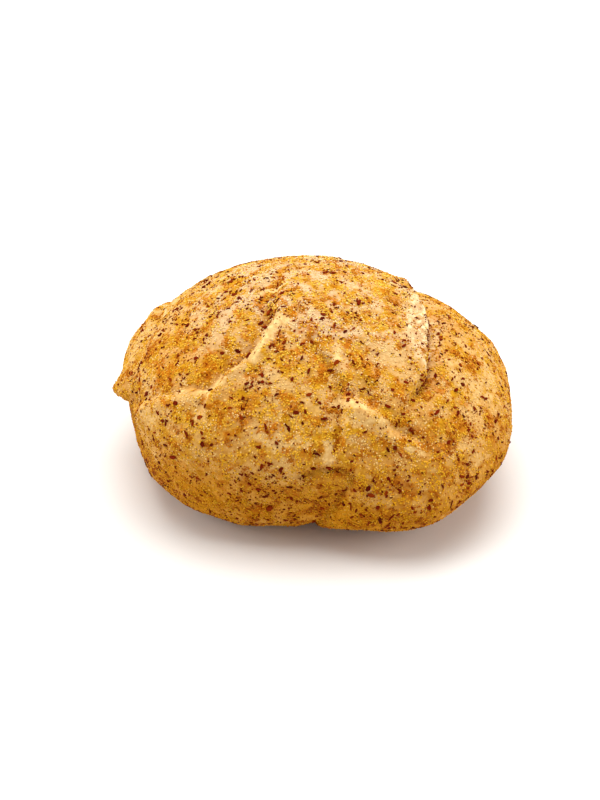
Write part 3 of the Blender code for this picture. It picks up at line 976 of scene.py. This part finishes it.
# The flakes that stand out: bearing, elevation and heading in degrees, length and width in metres
CHIEF_FLAKES = (
    (-120, 50.5, -20, 0.0023, 0.0010),
    (-92.5, 47, 62, 0.0021, 0.0009),
    (-83.5, 47.5, 0, 0.0019, 0.0008),
    (-87, 27.5, 2, 0.0021, 0.0008),
    (-105, 23.5, -74, 0.0023, 0.0007),
    (-113, 26, -50, 0.0016, 0.0011),
    (153, 51, 10, 0.0024, 0.0010),
    (156.5, 50, -40, 0.0016, 0.0008),
    (-75.5, -6.5, -20, 0.0021, 0.0011),
    (-76, -3, 50, 0.0019, 0.0012),
    (-66, 30.5, -25, 0.0019, 0.0010),
    (-67.5, 13.5, 35, 0.0018, 0.0011),
    (-69.5, 13, -70, 0.0015, 0.0008),
    (-46.5, 51.5, 8, 0.0018, 0.0008),
    (-40, 28, 20, 0.0016, 0.0010),
    (-101, 17, -40, 0.0015, 0.0009),
    (-89.5, 13, -16, 0.0023, 0.0008),
    (-102.5, 8, -4, 0.0017, 0.0007),
    (-127.5, 13.5, -80, 0.0017, 0.0009),
    (-129.5, 65.5, 30, 0.0020, 0.0011),
    (-132.5, 70.5, -60, 0.0017, 0.0010),
    (-124.5, 64.5, 75, 0.0015, 0.0008),
    (-115, 39.5, 30, 0.0016, 0.0010),
    (-90.5, 6, 6, 0.0022, 0.0010),
    (-86, 6.5, -12, 0.0020, 0.0009),
    (-97, -5, -6, 0.0021, 0.0007),
)
# The others lie all over the roll, turned by the golden angle from one to the next, and each a little astray.
# Heights are sines of the elevation, and widths are shares of the length.
SPREAD_FLAKES = 54
SPREAD_LONGEST = 0.0023
SPREAD_SHORTEST = 0.0012
SPREAD_WIDTHS = (0.40, 0.64)
SPREAD_LOWEST = -0.55
SPREAD_HIGHEST = 0.98
STEEPEST = 0.995
SPREAD_ASTRAY = 0.5
BEARING_ASTRAY = 0.25
GOLDEN_ANGLE = math.pi * (3 - math.sqrt(5))
SOLID_WAVES = SKIN_WAVES[:2]
# How far each corner of a scale is pulled in or out, and how much the scale curls at most
CORNER_PULLS = (0.62, 1.15)
MOST_CURL = 1.2
# Smaller bran: the size of its clumps, the share of its thickness that is pressed into the crust, and the
# power that makes short scales commoner than long ones
BRAN_CLUMP = 0.0020
BRAN_SUNK = 0.4
SHORTNESS = 2
# Its wide patches, given as those of the meal are, and how thickly it lies between them
BRAN_PATCHES = (0.5, 0.0100, 60)
BRAN_BETWEEN = 0.35
# How well bran holds on bare dough, and what meal, folds, toasted places and the tear add to that. The painted
# highlights take from it.
BRAN_ON_BARE = 0.45
BRAN_IN_MEAL = 0.55
BRAN_IN_FOLDS = 1.2
BRAN_IN_STAINS = 0.8
BRAN_IN_TEAR = 0.3
PAINTED_HIGHLIGHT_LESS_BRAN = 0.6


def flake_places():
    """Bearing, elevation, heading, length and width of the largest flakes."""
    draw = random.Random(FLAKE_SEED)
    places = list(CHIEF_FLAKES)
    for index in range(SPREAD_FLAKES):
        rise = SPREAD_LOWEST + (SPREAD_HIGHEST - SPREAD_LOWEST) * (index + 0.5) / SPREAD_FLAKES
        rise += draw.uniform(-SPREAD_ASTRAY, SPREAD_ASTRAY) / math.sqrt(SPREAD_FLAKES)
        bearing = math.degrees(index * GOLDEN_ANGLE + draw.uniform(-BEARING_ASTRAY, BEARING_ASTRAY))
        elevation = math.degrees(math.asin(max(-STEEPEST, min(STEEPEST, rise))))
        length = SPREAD_SHORTEST + (SPREAD_LONGEST - SPREAD_SHORTEST) * draw.random() ** 2
        width = length * draw.uniform(*SPREAD_WIDTHS)
        places.append((bearing, elevation, draw.uniform(-90, 90), length, width))
    return places


def bran_scale(draw, corners):
    """A thin scale with a torn outline, of unit length, width and height, a little curled."""
    shape = bmesh.new()
    bmesh.ops.create_circle(shape, cap_ends=True, segments=corners, radius=0.5)
    for vert in shape.verts:
        vert.co *= draw.uniform(*CORNER_PULLS)
    grown = bmesh.ops.extrude_face_region(shape, geom=shape.faces[:])
    for item in grown["geom"]:
        if isinstance(item, bmesh.types.BMVert):
            item.co.z = 1.0
            item.co.x *= FLAKE_TAPER
            item.co.y *= FLAKE_TAPER
    bend = draw.uniform(0.0, MOST_CURL)
    for vert in shape.verts:
        vert.co.z += bend * vert.co.x * vert.co.x
    bmesh.ops.triangulate(shape, faces=shape.faces[:])
    bmesh.ops.recalc_face_normals(shape, faces=shape.faces[:])
    shape.verts.index_update()
    return shape


def solid_skin(directions):
    """The skin of the roll in the given directions, as fine as the solid has it."""
    dough = dough_form(directions)
    rise = fold_marks(dough)["relief"]
    for wavelength, height in SOLID_WAVES:
        rise += height * wave(dough, wavelength)
    return dough + outward(dough_form, directions, NORMAL_ANGLE) * rise[:, None]


# Toasted husk: dull, fibrous and dark red-brown, and paler where it is dust
HUSK_BROWNS = ("#601200", "#761E00", "#4C0C00", "#8A3000")
DUST_BROWNS = ("#862800", "#A24200", "#6C1A00", "#B66600")
HUSK_ROUGHNESS = 0.8
HUSK_IOR = 1.5
HUSK_SHINE = 0.05
husk = tinted_material("toasted husk", HUSK_BROWNS, HUSK_ROUGHNESS, HUSK_IOR, HUSK_SHINE)
husk_dust = tinted_material("husk dust", DUST_BROWNS, HUSK_ROUGHNESS, HUSK_IOR, HUSK_SHINE)

flakes = np.array(flake_places())
flake_aims = directions_of(flakes[:, 0], flakes[:, 1])
flake_spots = solid_skin(flake_aims)
clear = flake_spots[:, 2] > FLAKE_CLEARANCE
flake_ups = outward(solid_skin, flake_aims, FLAKE_NORMAL_ANGLE)
thickness = np.full(len(flakes), FLAKE_PROUD + FLAKE_EMBEDDED)
large_bran = joined_copies(
    "large_bran",
    [bran_scale(random.Random(FLAKE_SEED + index), FLAKE_CORNERS) for index in range(2 * GRAIN_SHAPES)],
    (flake_spots + to_middle - flake_ups * FLAKE_EMBEDDED)[clear],
    flake_ups[clear],
    np.radians(flakes[clear, 2]),
    np.column_stack([flakes[:, 3], flakes[:, 4], thickness])[clear],
    np.random.default_rng(FLAKE_SEED).random(clear.sum()),
    smooth=False,
)
large_bran.data.materials.append(husk)


def strew(name, material, count, seed, corners, lengths, widths, thickness):
    """Scatters smaller bran over the crust, lying flat on it: lengths in metres, widths as shares of them."""
    draw = np.random.default_rng(seed)
    own_shapes = random.Random(seed)
    places, ups, _ = scattered(bran_density, count, draw, BRAN_CLUMP)
    length = lengths[0] * (lengths[1] / lengths[0]) ** (draw.random(count) ** SHORTNESS)
    size = np.column_stack([length, length * draw.uniform(*widths, count), np.full(count, thickness)])
    made = joined_copies(
        name,
        [bran_scale(own_shapes, corners) for _ in range(GRAIN_SHAPES)],
        places - ups * thickness * BRAN_SUNK,
        ups,
        draw.uniform(0, 2 * math.pi, count),
        size,
        draw.random(count),
        smooth=False,
    )
    made.data.materials.append(material)


held_bran = BRAN_ON_BARE + BRAN_IN_MEAL * covered + BRAN_IN_FOLDS * crust_marks["hollow"]
held_bran = held_bran + BRAN_IN_STAINS * stained + BRAN_IN_TEAR * torn
# Fewer bran scales under the painted highlights
bran_density = on_top * (BRAN_BETWEEN + patches(*BRAN_PATCHES)) * held_bran * (1 - PAINTED_HIGHLIGHT_LESS_BRAN * painted_highlight)
strew(
    "small_bran",
    husk,
    count=3500,
    seed=51,
    corners=FLAKE_CORNERS,
    lengths=(0.0005, 0.0018),
    widths=(0.35, 0.75),
    thickness=0.00030,
)
strew(
    "fine_bran",
    husk_dust,
    count=11400,
    seed=61,
    corners=5,
    lengths=(0.00026, 0.0006),
    widths=(0.45, 0.85),
    thickness=0.00022,
)
strew(
    "bran_slivers",
    husk,
    count=60,
    seed=71,
    corners=FLAKE_CORNERS,
    lengths=(0.0014, 0.0034),
    widths=(0.10, 0.18),
    thickness=0.00030,
)

# The bench that the roll stands on for its picture. A sheet of matt white paper, laid flat in a white room,
# with one wide soft light above it and a smaller one at each side.
CAMERA_HEIGHT_ANGLE = math.radians(36)
CAMERA_DISTANCE = 0.42
CAMERA_LENS = 74.5
CAMERA_AIM = Vector((-0.0031, -0.0033, 0.0225))
FLOOR_SIDE = 3.0
PAPER_WHITE = "#F2F0EC"
ROOM_WHITE = "#FFFFFF"
ROOM_LIGHT = 0.395
LIGHTS_AIM = Vector((0.0, 0.0, 0.03))

floor_mesh = bmesh.new()
bmesh.ops.create_grid(floor_mesh, x_segments=2, y_segments=2, size=FLOOR_SIDE / 2)
floor = new_object("floor", floor_mesh)
paper, _, paper_shader = new_material("matt paper")
paper_shader.inputs["Base Color"].default_value = linear(PAPER_WHITE)
paper_shader.inputs["Roughness"].default_value = 0.9
floor.data.materials.append(paper)

camera = bpy.data.objects.new("camera", bpy.data.cameras.new("camera"))
bpy.context.collection.objects.link(camera)
towards_camera = Vector((0, -math.cos(CAMERA_HEIGHT_ANGLE), math.sin(CAMERA_HEIGHT_ANGLE)))
camera.location = CAMERA_AIM + towards_camera * CAMERA_DISTANCE
camera.rotation_euler = towards_camera.to_track_quat("Z", "Y").to_euler()
camera.data.lens = CAMERA_LENS
camera.data.clip_start = 0.01
bpy.context.scene.camera = camera


def soft_light(name, place, size, power):
    """A square soft light that faces the roll: its place and side in metres, its power in watts."""
    lamp = bpy.data.lights.new(name, "AREA")
    lamp.size = size
    lamp.energy = power
    made = bpy.data.objects.new(name, lamp)
    made.location = place
    made.rotation_euler = (Vector(place) - LIGHTS_AIM).to_track_quat("Z", "Y").to_euler()
    bpy.context.collection.objects.link(made)


soft_light("overhead", (0.0, 0.10, 0.75), 0.7, 7.1)
soft_light("left_side", (-0.7, 0.0, 0.30), 0.5, 2.35)
soft_light("right_side", (0.7, 0.0, 0.30), 0.5, 2.5)
world = bpy.data.worlds.new("white room")
world.use_nodes = True
room = world.node_tree.nodes["Background"]
room.inputs["Color"].default_value = linear(ROOM_WHITE)
room.inputs["Strength"].default_value = ROOM_LIGHT
bpy.context.scene.world = world
bpy.context.scene.view_settings.view_transform = "Standard"
